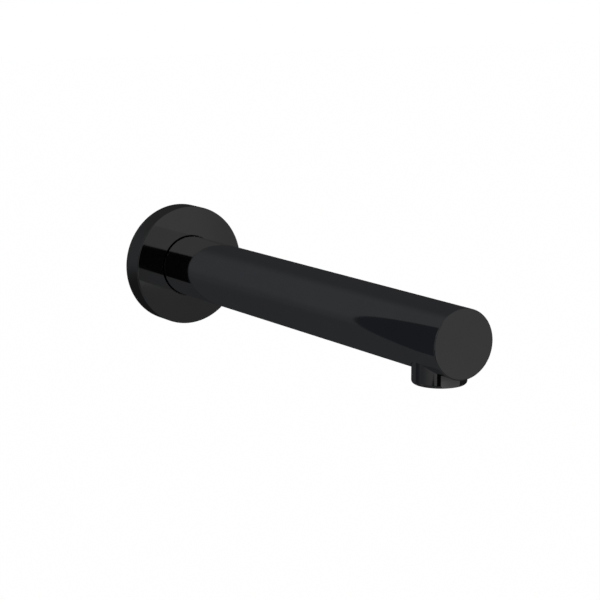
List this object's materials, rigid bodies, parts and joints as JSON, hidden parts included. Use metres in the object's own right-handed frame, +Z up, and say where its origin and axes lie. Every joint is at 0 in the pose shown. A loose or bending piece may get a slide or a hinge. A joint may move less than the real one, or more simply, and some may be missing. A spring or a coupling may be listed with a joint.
{
  "type": "wall spout",
  "caption": "Straight round wall spout with a round wall flange, a threaded inlet behind the wall and an aerator with spanner flats under its closed end.",
  "frame": {"origin": "on the spout's axis, in the plane of the wall, at the middle of the flange's back", "axes": "+Z up, -Y out of the wall along the spout, +Y into the wall along the inlet thread"},
  "size_m": [0.05, 0.214, 0.05],
  "materials": {
    "black_coat": "smooth glossy black coat on brass",
    "seal_rubber": "matt black rubber",
    "plain_brass": "turned brass",
    "pale_plastic": "pale grey moulded plastic"
  },
  "bodies": {
    "root": {"spout_body": "black_coat", "wall_flange": "black_coat", "aerator_housing": "black_coat", "grip_ring": "seal_rubber", "inlet_washer": "seal_rubber", "outlet_washer": "seal_rubber", "limiter_ring": "seal_rubber", "inlet_nipple": "plain_brass", "aerator_insert": "pale_plastic", "jet_plate": "pale_plastic", "flow_limiter": "pale_plastic", "strainer": "pale_plastic"}
  },
  "joints": []
}
